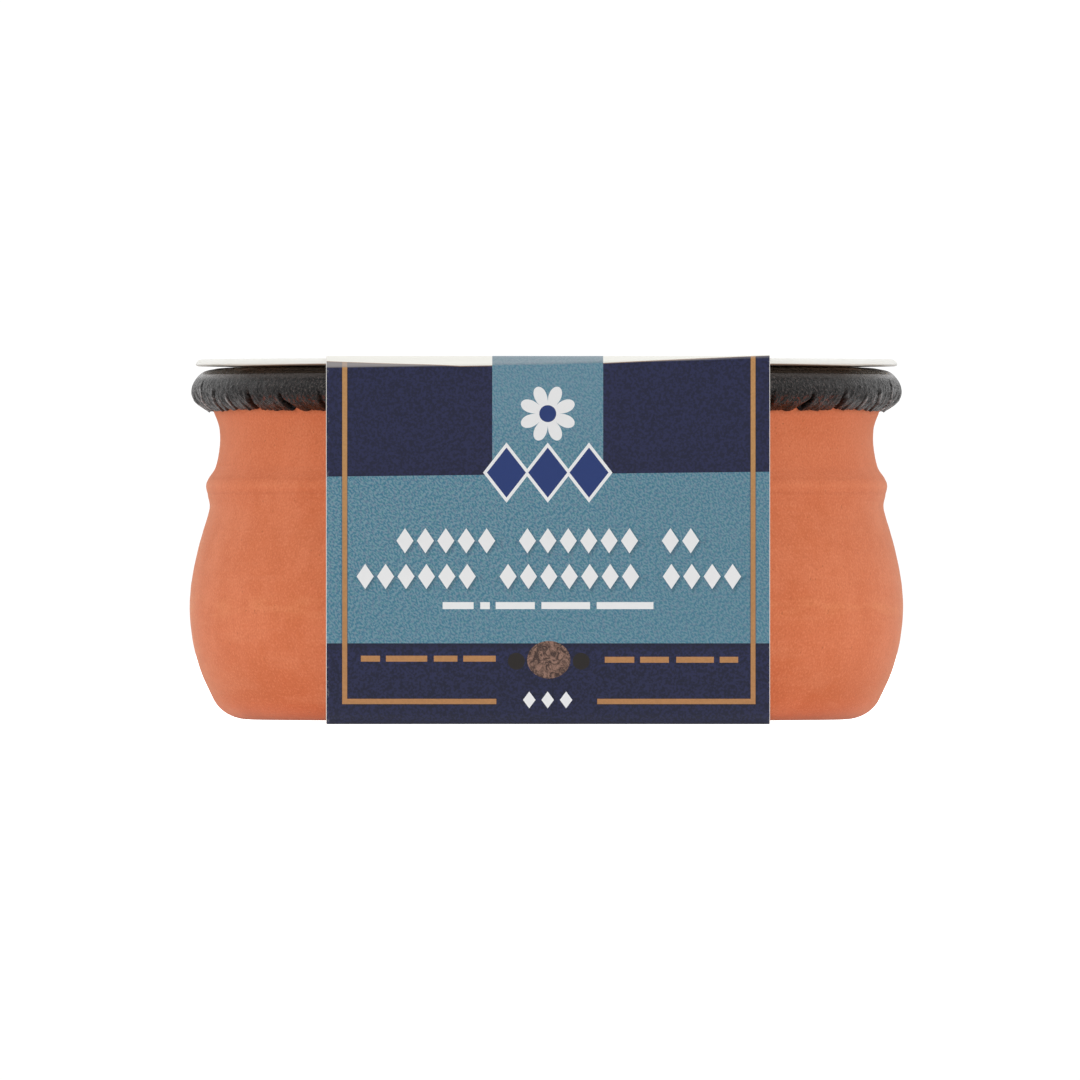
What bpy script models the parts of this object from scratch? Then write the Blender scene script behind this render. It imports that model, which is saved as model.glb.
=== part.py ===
"""Round terracotta pot of soft cheese, shut: a gathered film over the rim, a lid and a board sleeve.

Metres, +Z up. The origin is the middle of the flat underside, and the sleeve's front faces -Y.
"""

import math
import random

import bmesh
import bpy

# Pot: radii, and heights above the pot's own base
BELLY_RADIUS = 0.04890
BELLY_HEIGHT = 0.0160
BASE_FLAT_RADIUS = 0.0407
BASE_CORNER_RADIUS = 0.04542
BASE_CORNER_HEIGHT = 0.0024
BASE_CORNER_SWEEP = 64.0
FLANK_FULLNESS = 2.2
GROOVE_RADIUS = 0.04617
GROOVE_HEIGHT = 0.0293
BEAD_RADIUS = 0.04668
BEAD_HEIGHT = 0.0319
NECK_RADIUS = 0.04482
NECK_HEIGHT = 0.0385
RIM_RADIUS = 0.04706
RIM_HEIGHT = 0.0454
RIM_TOP = 0.0476

# Film: a bulging ring over the rim, gathered into pleats towards its hem
FILM_RADIUS = 0.04866
FILM_HEIGHT = 0.0449
FILM_TOP = 0.04827
FILM_FLAT_RADIUS = 0.0412
FILM_HEM_RADIUS = 0.0463
FILM_HEM_HEIGHT = 0.04225
HEM_THICKNESS = 0.00040
HEM_LIFT = 0.00040

# Creases between the pleats: degrees from the front and depth, the same on both sides.
# Those beside the sleeve are where they show; the rest follow the same rule, drawn by a seed.
SHOWN_CREASES = [(44.0, 0.00045), (47.1, 0.00105), (50.3, 0.00050), (54.0, 0.00040), (57.5, 0.00105),
                 (64.0, 0.00060), (68.7, 0.00090), (73.0, 0.00050), (76.2, 0.00100)]
PLEAT_SEED = 11
PLEAT_SPACING = (3.6, 6.5)
PLEAT_DEPTH = (0.00045, 0.00105)
PLEAT_SWEEP = 2.6
PLEAT_SKEW = 3.2

# Lid: a thin disc with a chamfered upper edge
LID_RADIUS = 0.0481
LID_THICKNESS = 0.00104
LID_CHAMFER_WIDTH = 0.0010
LID_CHAMFER_HEIGHT = 0.00062
LID_EDGE_ROUND = 0.00012

# Sleeve: one strip of board folded round the front, top, back and underside
BOARD = 0.00030
SLEEVE_WIDTH = 0.06025
FOLD_RADIUS = 0.0013
TOP_FOLD_RADIUS = 0.0005
TOP_FOLD_BELOW_LID = 0.00095
TOP_SLOPE = 25.0
FOLD_STEPS = 6
FLAP_HEIGHT = 0.0090

# Clearances between pieces that touch
REST_GAP = 0.00010
SIDE_GAP = 0.00035

POT_BASE = BOARD + REST_GAP
LID_BASE = POT_BASE + FILM_TOP + REST_GAP
LID_TOP = LID_BASE + LID_THICKNESS
SLEEVE_TOP = LID_TOP + REST_GAP + BOARD
SLEEVE_DEPTH = BELLY_RADIUS + SIDE_GAP + BOARD

POT_COLUMNS = 60
FILM_COLUMNS = 216
LID_COLUMNS = 60
CORNER_STEPS = 5
CURVE_STEPS = 2


def clear_scene():
    for item in list(bpy.data.objects):
        bpy.data.objects.remove(item, do_unlink=True)


def plain_material(name, colour, roughness):
    material = bpy.data.materials.new(name)
    material.use_nodes = True
    shader = material.node_tree.nodes["Principled BSDF"]
    shader.inputs["Base Color"].default_value = (*colour, 1.0)
    shader.inputs["Roughness"].default_value = roughness
    shader.inputs["Metallic"].default_value = 0.0
    return material


def curve_through(points):
    """Points of a smooth curve that runs through the given ones, with a few steps in each span."""
    padded = [points[0]] + list(points) + [points[-1]]
    result = []
    for before, start, end, after in zip(padded, padded[1:], padded[2:], padded[3:]):
        for step in range(CURVE_STEPS):
            t = step / CURVE_STEPS
            result.append(tuple(
                0.5 * (2.0 * b + (c - a) * t + (2.0 * a - 5.0 * b + 4.0 * c - d) * t ** 2
                       + (3.0 * b - a - 3.0 * c + d) * t ** 3)
                for a, b, c, d in zip(before, start, end, after)))
    result.append(tuple(points[-1]))
    return result


def finished_object(name, mesh, material, smooth_angle):
    data = bpy.data.meshes.new(name)
    mesh.to_mesh(data)
    mesh.free()
    data.shade_smooth()
    data.set_sharp_from_angle(angle=math.radians(smooth_angle))
    data.materials.append(material)
    item = bpy.data.objects.new(name, data)
    bpy.context.scene.collection.objects.link(item)
    return item


def turned_solid(name, outline, base, columns, material, shape=None):
    """Closed solid turned about Z from (radius, height above base) points, from axis to axis.

    shape(index, angle, radius, height) may return a moved (radius, height) for one point.
    """
    mesh = bmesh.new()
    rings = []
    for index, (radius, height) in enumerate(outline):
        if radius == 0.0:
            rings.append([mesh.verts.new((0.0, 0.0, base + height))])
            continue
        ring = []
        for column in range(columns):
            angle = 2.0 * math.pi * column / columns
            r, z = shape(index, angle, radius, height) if shape else (radius, height)
            ring.append(mesh.verts.new((r * math.sin(angle), -r * math.cos(angle), base + z)))
        rings.append(ring)
    for lower, upper in zip(rings, rings[1:]):
        for column in range(columns):
            following = (column + 1) % columns
            corners = [lower[column % len(lower)], lower[following % len(lower)],
                       upper[following % len(upper)], upper[column % len(upper)]]
            mesh.faces.new(list(dict.fromkeys(corners)))
    bmesh.ops.recalc_face_normals(mesh, faces=mesh.faces)
    return finished_object(name, mesh, material, 40.0)


def base_corner():
    """Rounded edge between the pot's flat base and its flank, an arc of an ellipse."""
    sweep = math.radians(BASE_CORNER_SWEEP)
    wide = (BASE_CORNER_RADIUS - BASE_FLAT_RADIUS) / math.sin(sweep)
    tall = BASE_CORNER_HEIGHT / (1.0 - math.cos(sweep))
    points = []
    for step in range(CORNER_STEPS):
        turn = sweep * step / CORNER_STEPS
        points.append((BASE_FLAT_RADIUS + wide * math.sin(turn), tall * (1.0 - math.cos(turn))))
    return points


def pot_wall():
    """The thrown wall over flank, belly, groove, bead and neck, up to the film's hem."""
    flank = []
    for share in (0.0, 0.25, 0.5, 0.75):
        flank.append((BELLY_RADIUS - (BELLY_RADIUS - BASE_CORNER_RADIUS) * (1.0 - share) ** FLANK_FULLNESS,
                      BASE_CORNER_HEIGHT + (BELLY_HEIGHT - BASE_CORNER_HEIGHT) * share))
    upper = [
        (BELLY_RADIUS, BELLY_HEIGHT),
        (BELLY_RADIUS - 0.00039, BELLY_HEIGHT + 0.0038),
        (BELLY_RADIUS - 0.00136, BELLY_HEIGHT + 0.0082),
        (GROOVE_RADIUS + 0.00035, GROOVE_HEIGHT - 0.0017),
        (GROOVE_RADIUS, GROOVE_HEIGHT),
        (BEAD_RADIUS - 0.00026, BEAD_HEIGHT - 0.0013),
        (BEAD_RADIUS, BEAD_HEIGHT),
        (BEAD_RADIUS - 0.00024, BEAD_HEIGHT + 0.0010),
        (BEAD_RADIUS - 0.00088, BEAD_HEIGHT + 0.0019),
        (NECK_RADIUS + 0.00044, NECK_HEIGHT - 0.0036),
        (NECK_RADIUS, NECK_HEIGHT - 0.0012),
        (NECK_RADIUS, NECK_HEIGHT + 0.0013),
        (NECK_RADIUS + 0.00068, NECK_HEIGHT + 0.0034),
    ]
    return curve_through(flank + upper)


def pot_rim():
    """The rolled rim inside the film, from the neck over its widest point to its top."""
    return [
        (NECK_RADIUS + 0.00100, NECK_HEIGHT + 0.0042),
        (RIM_RADIUS - 0.00030, RIM_HEIGHT - 0.0012),
        (RIM_RADIUS, RIM_HEIGHT),
        (RIM_RADIUS - 0.00090, RIM_TOP - 0.0006),
        (RIM_RADIUS - 0.00300, RIM_TOP),
    ]


def make_pot():
    outline = [(0.0, 0.0)] + base_corner() + pot_wall() + pot_rim() + [(0.0, RIM_TOP)]
    clay = plain_material("terracotta", (0.62, 0.17, 0.075), 0.85)
    return turned_solid("pot", outline, POT_BASE, POT_COLUMNS, clay)


def pleat_creases():
    """Creases of the gathered film over half a turn from the front, as angle and depth."""
    draw = random.Random(PLEAT_SEED)
    creases = list(SHOWN_CREASES)
    while creases[0][0] > -PLEAT_SPACING[1]:
        creases.insert(0, (creases[0][0] - draw.uniform(*PLEAT_SPACING), draw.uniform(*PLEAT_DEPTH)))
    while creases[-1][0] < 180.0 + PLEAT_SPACING[1]:
        creases.append((creases[-1][0] + draw.uniform(*PLEAT_SPACING), draw.uniform(*PLEAT_DEPTH)))
    return creases


def film_sink(creases, around, along):
    """How far the film sinks below its ridges, in metres.

    around is in degrees from the front, along runs from the shoulder, 0, to the hem, 1.
    Each pleat swells slowly and drops steeply into the crease on its side towards the front.
    """
    around -= PLEAT_SWEEP * (1.0 - along)
    for (near, near_depth), (far, far_depth) in zip(creases, creases[1:]):
        if near <= around < far:
            share = (far - around) / (far - near)
            swell = math.sin(math.pi * share ** PLEAT_SKEW)
            return (far_depth + (near_depth - far_depth) * share) * (1.0 - swell) * along ** 1.2
    return 0.0


def film_outside():
    """Outer line of the film over the shoulder and the bulge to the hem."""
    section = [
        (FILM_HEM_RADIUS - 0.0009, FILM_TOP - 0.00016),
        (FILM_RADIUS - 0.00152, FILM_TOP - 0.0007),
        (FILM_RADIUS - 0.00040, FILM_HEIGHT + 0.00145),
        (FILM_RADIUS, FILM_HEIGHT),
        (FILM_RADIUS - 0.00068, FILM_HEIGHT - 0.0015),
        (FILM_HEM_RADIUS, FILM_HEM_HEIGHT),
    ]
    return [(FILM_FLAT_RADIUS, FILM_TOP)] + curve_through(section)


def film_inside():
    """Line inside the film, a clearance off the pot's rim, from the hem to the flat top."""
    line = pot_rim() + [(0.0, RIM_TOP)]
    inside = []
    for before, here, after in zip(line, line[1:], line[2:]):
        run = math.dist(before, after)
        out = ((after[1] - before[1]) / run, (before[0] - after[0]) / run)
        inside.append((here[0] + SIDE_GAP * out[0], here[1] + SIDE_GAP * out[1]))
    return [(FILM_HEM_RADIUS - HEM_THICKNESS, FILM_HEM_HEIGHT + 0.0001)] + inside


def make_cover():
    """The film as a solid cap: its outside is pleated, its inside follows the pot's rim."""
    outside = film_outside()
    outline = [(0.0, FILM_TOP)] + outside + film_inside() + [(0.0, RIM_TOP + SIDE_GAP)]
    creases = pleat_creases()
    hem = len(outside)
    shoulder = hem - 4 * CURVE_STEPS

    def pleated(index, angle, radius, height):
        if index <= shoulder or index > hem + 1:
            return radius, height
        around = abs(math.degrees(math.remainder(angle, 2.0 * math.pi)))
        along = min(1.0, (index - shoulder) / (hem - shoulder))
        sink = film_sink(creases, around, along)
        lift = HEM_LIFT * sink / PLEAT_DEPTH[1] * along ** 3
        if index == hem + 1:
            return radius, height + lift
        hem_share = 1.0 if index < hem else 0.25
        return radius - sink * hem_share, height + lift

    film = plain_material("black_film", (0.040, 0.036, 0.036), 0.45)
    return turned_solid("cover", outline, POT_BASE, FILM_COLUMNS, film, pleated)


def make_lid():
    """Thin flat lid that lies on the film, its upper edge chamfered."""
    outline = [
        (0.0, 0.0),
        (LID_RADIUS - 5.0 * LID_EDGE_ROUND, 0.0),
        (LID_RADIUS - LID_EDGE_ROUND, LID_EDGE_ROUND),
        (LID_RADIUS, LID_THICKNESS - LID_CHAMFER_HEIGHT),
        (LID_RADIUS - 0.4 * LID_CHAMFER_WIDTH, LID_THICKNESS - 0.35 * LID_CHAMFER_HEIGHT),
        (LID_RADIUS - LID_CHAMFER_WIDTH, LID_THICKNESS),
        (0.0, LID_THICKNESS),
    ]
    plastic = plain_material("pale_plastic", (0.84, 0.83, 0.79), 0.35)
    return turned_solid("lid", outline, LID_BASE, LID_COLUMNS, plastic)


def fold_arc(centre, start_turn, sweep, radius):
    """Points of a fold about a centre in the YZ plane, angles in degrees."""
    points = []
    for step in range(FOLD_STEPS + 1):
        turn = math.radians(start_turn + sweep * step / FOLD_STEPS)
        points.append((centre[0] + radius * math.cos(turn), centre[1] + radius * math.sin(turn)))
    return points


def low_fold(centre, start_turn):
    """Quarter-turn fold along the underside, as outer and inner points."""
    return (fold_arc(centre, start_turn, 90.0, FOLD_RADIUS),
            fold_arc(centre, start_turn, 90.0, FOLD_RADIUS - BOARD))


def top_fold():
    """Tight fold at the back's top, and the slope up to the lid, as outer and inner points."""
    centre = (SLEEVE_DEPTH - TOP_FOLD_RADIUS, LID_TOP - TOP_FOLD_BELOW_LID)
    outer = fold_arc(centre, 0.0, 90.0 - TOP_SLOPE, TOP_FOLD_RADIUS)
    inner = fold_arc(centre, 0.0, 90.0 - TOP_SLOPE, TOP_FOLD_RADIUS - BOARD)
    slope_run = (SLEEVE_TOP - outer[-1][1]) / math.tan(math.radians(TOP_SLOPE))
    slope_end = outer[-1][0] - slope_run
    outer.append((slope_end, SLEEVE_TOP))
    inner.append((slope_end, SLEEVE_TOP - BOARD))
    return outer, inner


def mirrored(points):
    """The same fold on the front side, in the order of the loop."""
    return [(-y, z) for y, z in reversed(points)]


def sleeve_layers():
    """Matched (y, z) points of the strip's outer and inner faces, once round the loop."""
    reach = SLEEVE_DEPTH - FOLD_RADIUS
    outer, inner = low_fold((-reach, FOLD_RADIUS), 180.0)
    back_outer, back_inner = low_fold((reach - BOARD, FOLD_RADIUS), 270.0)
    panel_end = FOLD_RADIUS + 0.5 * BOARD
    flap_face = SLEEVE_DEPTH - 2.0 * BOARD
    outer += back_outer + [(SLEEVE_DEPTH, panel_end), (SLEEVE_DEPTH, FLAP_HEIGHT),
                           (SLEEVE_DEPTH, FLAP_HEIGHT + BOARD)]
    inner += back_inner + [(flap_face, panel_end), (flap_face, FLAP_HEIGHT),
                           (SLEEVE_DEPTH - BOARD, FLAP_HEIGHT)]
    top_outer, top_inner = top_fold()
    outer += top_outer + mirrored(top_outer)
    inner += top_inner + mirrored(top_inner)
    return outer, inner


def make_sleeve():
    """Loop of board, its glue flap doubled inside the back panel's lower end."""
    outer, inner = sleeve_layers()
    mesh = bmesh.new()
    sides = []
    for x in (-0.5 * SLEEVE_WIDTH, 0.5 * SLEEVE_WIDTH):
        sides.append([[mesh.verts.new((x, y, z)) for y, z in layer] for layer in (outer, inner)])
    (left_outer, left_inner), (right_outer, right_inner) = sides
    for here in range(len(outer)):
        there = (here + 1) % len(outer)
        mesh.faces.new((left_outer[here], right_outer[here], right_outer[there], left_outer[there]))
        mesh.faces.new((left_inner[here], left_inner[there], right_inner[there], right_inner[here]))
        mesh.faces.new((left_outer[here], left_outer[there], left_inner[there], left_inner[here]))
        mesh.faces.new((right_outer[here], right_inner[here], right_inner[there], right_outer[there]))
    bmesh.ops.recalc_face_normals(mesh, faces=mesh.faces)
    board = plain_material("printed_board", (0.035, 0.036, 0.075), 0.5)
    return finished_object("sleeve", mesh, board, 35.0)


def main():
    clear_scene()
    make_pot()
    make_cover()
    make_lid()
    make_sleeve()


main()
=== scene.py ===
"""Looks of a shut terracotta pot of soft cheese with a gathered film, a flat lid and a board sleeve."""

import math
import random
from collections import namedtuple

import bpy
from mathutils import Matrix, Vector, noise


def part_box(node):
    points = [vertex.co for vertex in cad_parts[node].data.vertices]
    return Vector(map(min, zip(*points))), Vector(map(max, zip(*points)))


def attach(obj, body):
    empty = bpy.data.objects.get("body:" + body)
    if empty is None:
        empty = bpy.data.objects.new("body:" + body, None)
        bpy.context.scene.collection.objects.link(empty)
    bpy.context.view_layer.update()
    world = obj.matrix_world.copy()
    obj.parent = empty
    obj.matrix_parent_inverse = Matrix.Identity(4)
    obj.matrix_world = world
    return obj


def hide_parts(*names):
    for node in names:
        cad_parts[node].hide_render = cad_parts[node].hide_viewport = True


MM = 0.001

# Photograph: 1080 pixels square, 7.296 of them a millimetre at the pot's axis
PHOTO_WIDTH = 1080.0
PIXELS_PER_MM = 7.296
AXIS_PIXEL = 546.5
POT_BASE_PIXEL = 719.5
CAMERA_DISTANCE = 5.0
SENSOR = 36.0

# Meshes: columns round a turned piece or across the sleeve, and rows between two points of an outline
POT_COLUMNS = 320
POT_STEPS = 7
FILM_COLUMNS = 1740
FILM_STEPS = 8
LID_COLUMNS = 256
LID_STEPS = 4
SLEEVE_COLUMNS = 40


def curve_through(points, steps):
    """Points of a smooth curve that runs through the given ones."""
    padded = [points[0]] + list(points) + [points[-1]]
    result = []
    for before, start, end, after in zip(padded, padded[1:], padded[2:], padded[3:]):
        for step in range(steps):
            t = step / steps
            result.append(tuple(
                0.5 * (2.0 * b + (c - a) * t + (2.0 * a - 5.0 * b + 4.0 * c - d) * t ** 2
                       + (3.0 * b - a - 3.0 * c + d) * t ** 3)
                for a, b, c, d in zip(before, start, end, after)))
    result.append(tuple(points[-1]))
    return result


def smoothstep(low, high, value):
    """Smooth share of the way from low to high, between 0 and 1."""
    share = min(1.0, max(0.0, (value - low) / (high - low)))
    return share * share * (3.0 - 2.0 * share)


def bell(value, middle, width):
    """Bell curve that is 1 at its middle."""
    return math.exp(-((value - middle) / width) ** 2)


def mesh_piece(name, points, faces, materials, node, smooth_angle=40.0):
    """Piece made from a mesh, which takes the place of a CAD node."""
    data = bpy.data.meshes.new(name)
    data.from_pydata(points, [], faces)
    data.validate()
    data.shade_smooth()
    data.set_sharp_from_angle(angle=math.radians(smooth_angle))
    for material in materials:
        data.materials.append(material)
    piece = bpy.data.objects.new(name, data)
    bpy.context.scene.collection.objects.link(piece)
    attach(piece, "root")
    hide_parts(node)
    return piece


def turned_rings(rows, columns, place):
    """Points and faces of a closed shape turned about Z, from pole to pole.

    place(row, angle) gives a point's radius and height; the angle is 0 at the front, -Y.
    """
    points = []
    rings = []
    for row in range(rows):
        count = 1 if row in (0, rows - 1) else columns
        rings.append(range(len(points), len(points) + count))
        for column in range(count):
            angle = 2.0 * math.pi * column / columns
            radius, height = place(row, angle)
            if count == 1:
                radius = 0.0
            points.append((radius * math.sin(angle), -radius * math.cos(angle), height))
    faces = []
    for lower, upper in zip(rings, rings[1:]):
        for column in range(columns):
            following = (column + 1) % columns
            corners = [lower[column % len(lower)], lower[following % len(lower)],
                       upper[following % len(upper)], upper[column % len(upper)]]
            faces.append(list(dict.fromkeys(corners)))
    return points, faces


class Nodes:
    """Short calls for building one node tree."""

    def __init__(self, tree):
        self.tree = tree

    def feed(self, socket, value):
        if isinstance(value, bpy.types.NodeSocket):
            self.tree.links.new(value, socket)
        else:
            socket.default_value = value

    def add(self, kind, inputs=None, **settings):
        node = self.tree.nodes.new(kind)
        for key, value in settings.items():
            setattr(node, key, value)
        for key, value in (inputs or {}).items():
            self.feed(node.inputs[key], value)
        return node

    def finish(self, inputs, shader="Principled BSDF"):
        """Values and sockets for the shader that the tree starts with."""
        for key, value in inputs.items():
            self.feed(self.tree.nodes[shader].inputs[key], value)

    def math(self, operation, *values):
        node = self.add("ShaderNodeMath", operation=operation)
        for socket, value in zip(node.inputs, values):
            self.feed(socket, value)
        return node.outputs[0]

    def chain(self, operation, values):
        """One operation carried on over all the values."""
        result = values[0]
        for value in values[1:]:
            result = self.math(operation, result, value)
        return result

    def total(self, *values):
        return self.chain("ADD", values)

    def product(self, *values):
        return self.chain("MULTIPLY", values)

    def largest(self, *values):
        return self.chain("MAXIMUM", values)

    def smallest(self, *values):
        return self.chain("MINIMUM", values)

    def minus(self, value, other):
        return self.math("SUBTRACT", value, other)

    def gap(self, value, other):
        """How far apart two values are."""
        return self.math("ABSOLUTE", self.minus(value, other))

    def ramp(self, value, low, high, start=0.0, end=1.0):
        """Smooth step of a value from low to high, given out as start to end."""
        node = self.add("ShaderNodeMapRange", interpolation_type="SMOOTHSTEP")
        for socket, item in zip(node.inputs, (value, low, high, start, end)):
            self.feed(socket, item)
        return node.outputs[0]

    def blend(self, share, below, above, mode="MIX"):
        """Colour above laid over colour below by a share."""
        node = self.add("ShaderNodeMix", data_type="RGBA", blend_type=mode)
        self.feed(node.inputs[0], share)
        for socket, colour in ((node.inputs[6], below), (node.inputs[7], above)):
            self.feed(socket, colour if isinstance(colour, bpy.types.NodeSocket) else (*colour, 1.0))
        return node.outputs[2]

    def layers(self, colour, *coats):
        """Coats, each a share and a colour, laid over a colour one after another."""
        for share, tone in coats:
            colour = self.blend(share, colour, tone)
        return colour

    def blend_number(self, share, below, above):
        return self.total(self.product(share, above - below), below)

    def shaded(self, colour, factor):
        """Colour times a number."""
        return self.blend(1.0, colour, self.vector(factor, factor, factor), "MULTIPLY")

    def vector(self, x, y, z=0.0):
        return self.add("ShaderNodeCombineXYZ", {"X": x, "Y": y, "Z": z}).outputs[0]

    def axes(self, vector):
        return self.add("ShaderNodeSeparateXYZ", {"Vector": vector}).outputs

    def length(self, vector):
        return self.add("ShaderNodeVectorMath", {"Vector": vector}, operation="LENGTH").outputs["Value"]

    def stretched(self, vector, factors):
        node = self.add("ShaderNodeVectorMath", operation="MULTIPLY")
        self.feed(node.inputs[0], vector)
        node.inputs[1].default_value = factors
        return node.outputs[0]

    def place_mm(self):
        """The point's place in the object's own frame, in millimetres."""
        coordinates = self.add("ShaderNodeTexCoord").outputs["Object"]
        return self.stretched(coordinates, (1.0 / MM, 1.0 / MM, 1.0 / MM))

    def turn(self, axes):
        """Angle round Z from the front, in radians, the same on both sides."""
        return self.math("ABSOLUTE", self.math("ARCTAN2", axes["X"], self.product(axes["Y"], -1.0)))

    def attribute(self, name):
        return self.add("ShaderNodeAttribute", attribute_name=name).outputs["Fac"]

    def seen_directly(self):
        return self.add("ShaderNodeLightPath").outputs["Is Camera Ray"]

    def noise(self, vector, scale, detail=2.0, roughness=0.5, distortion=0.0):
        inputs = {"Vector": vector, "Scale": scale, "Detail": detail, "Roughness": roughness,
                  "Distortion": distortion}
        return self.add("ShaderNodeTexNoise", inputs).outputs[0]

    def bump(self, height, distance, normal=None):
        node = self.add("ShaderNodeBump", {"Strength": 1.0, "Distance": distance, "Height": height})
        if normal is not None:
            self.feed(node.inputs["Normal"], normal)
        return node.outputs[0]


def new_material(name, helper=Nodes):
    """Material and the helper for its nodes."""
    material = bpy.data.materials.new(name)
    material.use_nodes = True
    return material, helper(material.node_tree)


# Terracotta pot

# Turning marks up the wall: where the noise is read, how tall and how deep they are
TURNING_MARKS = (((0.0, 7.0), 1.3 * MM, 0.022 * MM), ((3.0, 0.0), 0.45 * MM, 0.010 * MM))

# Lines pressed in along the bead: height, depth and half width
TOOL_LINES = ((31.35 * MM, 0.05 * MM, 0.24 * MM), (33.25 * MM, 0.04 * MM, 0.26 * MM))

# The wall's slow wobble: its pace round the pot, its height and its depth
WOBBLE_PACE = 1.1
WOBBLE_HEIGHT = 22.0 * MM
WOBBLE_DEPTH = 0.05 * MM

# Marks and wobble fade in over this height above the base
MARKS_START = 2.0 * MM

# Two points nearer than this are at the same place
TOUCH = 1e-6

CLAY_DARK = (0.665, 0.177, 0.073)
CLAY_LIGHT = (0.710, 0.207, 0.094)
CLAY_PATCH = (0.600, 0.146, 0.057)
CLAY_STREAK = (0.73, 0.235, 0.112)
# Painted light on the upper wall
CLAY_TOP_PAINTED_LIGHT = (0.790, 0.209, 0.090)
# Painted shade on the foot, deeper at the sides
CLAY_FOOT_SHADE = (0.585, 0.152, 0.058)
CLAY_FOOT_SIDE_SHADE = (0.540, 0.138, 0.048)
CHALK = (0.82, 0.32, 0.14)
FOOT_CHALK = (0.82, 0.34, 0.18)
SPECK_LIGHT = (0.88, 0.34, 0.17)
SPECK_DARK = (0.48, 0.105, 0.042)
PIT = (0.36, 0.085, 0.035)

# Stripes of shade and light along the bead: height and half width in mm, share and colour
BEAD_TONES = ((31.35, 0.40, 0.18, (0.50, 0.115, 0.045)), (32.35, 0.75, 0.16, (0.80, 0.250, 0.115)),
              (33.45, 0.45, 0.16, (0.52, 0.115, 0.045)))

# Height in mm of the band where chalk is rubbed into the wall
CHALK_HEIGHT = 15.9


def pot_outline(cad):
    """Radius and height of the CAD pot's outline, read at its front, from the base up."""
    mesh = cad["nodes"]["pot"].data
    found = {(round(-v.co.y, 6), round(v.co.z, 6)) for v in mesh.vertices
             if abs(v.co.x) < TOUCH and v.co.y < TOUCH}
    low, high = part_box("pot")
    base = sorted(p for p in found if p[1] < low.z + TOUCH)
    top = sorted((p for p in found if p[1] > high.z - TOUCH), reverse=True)
    wall = sorted((p for p in found if low.z + TOUCH <= p[1] <= high.z - TOUCH), key=lambda p: p[1])
    return [p for p in base if p[0] > 0.0] + wall + [p for p in top if p[0] > 0.0]


def make_pot(cad):
    outline = curve_through(pot_outline(cad), POT_STEPS)
    low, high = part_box("pot")
    line = [(0.0, low.z)] + outline + [(0.0, high.z)]

    def place(row, angle):
        radius, height = line[row]
        if radius == 0.0:
            return radius, height
        around = (math.sin(angle) * WOBBLE_PACE, math.cos(angle) * WOBBLE_PACE, height / WOBBLE_HEIGHT)
        relief = noise.noise(around) * WOBBLE_DEPTH
        for start, tall, depth in TURNING_MARKS:
            relief += noise.noise((*start, height / tall)) * depth
        for middle, depth, half_width in TOOL_LINES:
            relief -= depth * bell(height, middle, half_width)
        return radius + relief * smoothstep(low.z, low.z + MARKS_START, height), height

    points, faces = turned_rings(len(line), POT_COLUMNS, place)
    return mesh_piece("terracotta_pot", points, faces, [clay_material()], "pot")


def clay_colour(n, place):
    """Clouds, patches and streaks, painted light on the top, painted shade on the foot, painted shade and
    light along the bead, chalk, speckle and pits.

    Heights are in mm, and a noise's scale is per mm.
    """
    axes = n.axes(place)
    z = axes["Z"]
    level = n.stretched(place, (0.10, 0.10, 0.45))
    streaks = n.noise(n.stretched(place, (0.05, 0.05, 1.0)), 1.1, 3.0, 0.6)
    speckle = n.noise(place, 3.5, 1.0)
    above_base = n.ramp(z, 0.8, 4.5, 0.35, 1.0)
    side = n.ramp(n.turn(axes), math.radians(42.0), math.radians(58.0))
    stripes = [(n.ramp(n.gap(z, middle), 0.0, half_width, share, 0.0), tone)
               for middle, half_width, share, tone in BEAD_TONES]
    chalk = n.product(n.ramp(n.gap(z, CHALK_HEIGHT), 0.3, 2.4, 1.0, 0.0),
                      n.ramp(n.noise(level, 1.6, 3.0, 0.55), 0.40, 0.66), 0.24)
    foot_chalk = n.product(n.ramp(z, 0.6, 2.0), n.ramp(z, 9.0, 15.0, 1.0, 0.0),
                           n.ramp(n.noise(level, 1.0, 3.0, 0.55), 0.50, 0.68), 0.12)
    return n.layers(
        CLAY_DARK,
        (n.ramp(n.noise(place, 0.11, 3.0, 0.55), 0.35, 0.65), CLAY_LIGHT),
        (n.ramp(n.noise(place, 0.35, 4.0, 0.6), 0.42, 0.75, 0.0, 0.45), CLAY_PATCH),
        (n.ramp(streaks, 0.50, 0.75, 0.0, 0.25), CLAY_STREAK),
        # Painted light on the upper wall
        (n.ramp(z, 28.0, 38.0, 0.0, 0.40), CLAY_TOP_PAINTED_LIGHT),
        # Painted shade on the foot, deeper at the sides
        (n.product(n.ramp(z, 3.0, 14.0, 0.40, 0.0), above_base), CLAY_FOOT_SHADE),
        (n.product(n.ramp(z, 3.0, 12.0, 0.5, 0.0), above_base, side), CLAY_FOOT_SIDE_SHADE),
        *stripes,
        (chalk, CHALK),
        (foot_chalk, FOOT_CHALK),
        (n.ramp(speckle, 0.52, 0.70, 0.0, 0.23), SPECK_LIGHT),
        (n.ramp(speckle, 0.30, 0.48, 0.23, 0.0), SPECK_DARK),
        (n.ramp(n.noise(place, 1.7), 0.24, 0.30, 0.45, 0.0), PIT))


def clay_material():
    material, n = new_material("terracotta")
    place = n.place_mm()
    lines = n.noise(n.stretched(place, (0.03, 0.03, 1.0)), 2.4, 3.0, 0.6)
    rough = n.bump(n.noise(place, 3.2, 3.0, 0.6), 0.030 * MM)
    n.finish({"Base Color": clay_colour(n, place),
              "Roughness": n.ramp(n.noise(place, 2.6, 3.0, 0.6), 0.2, 0.8, 0.74, 0.88),
              "Normal": n.bump(lines, 0.035 * MM, rough),
              "Specular IOR Level": 0.15,
              "Sheen Weight": 0.23,
              "Sheen Tint": (0.78, 1.0, 0.86, 1.0),
              "Sheen Roughness": 0.35})
    return material


# Film, gathered into creases over the rim

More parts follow.
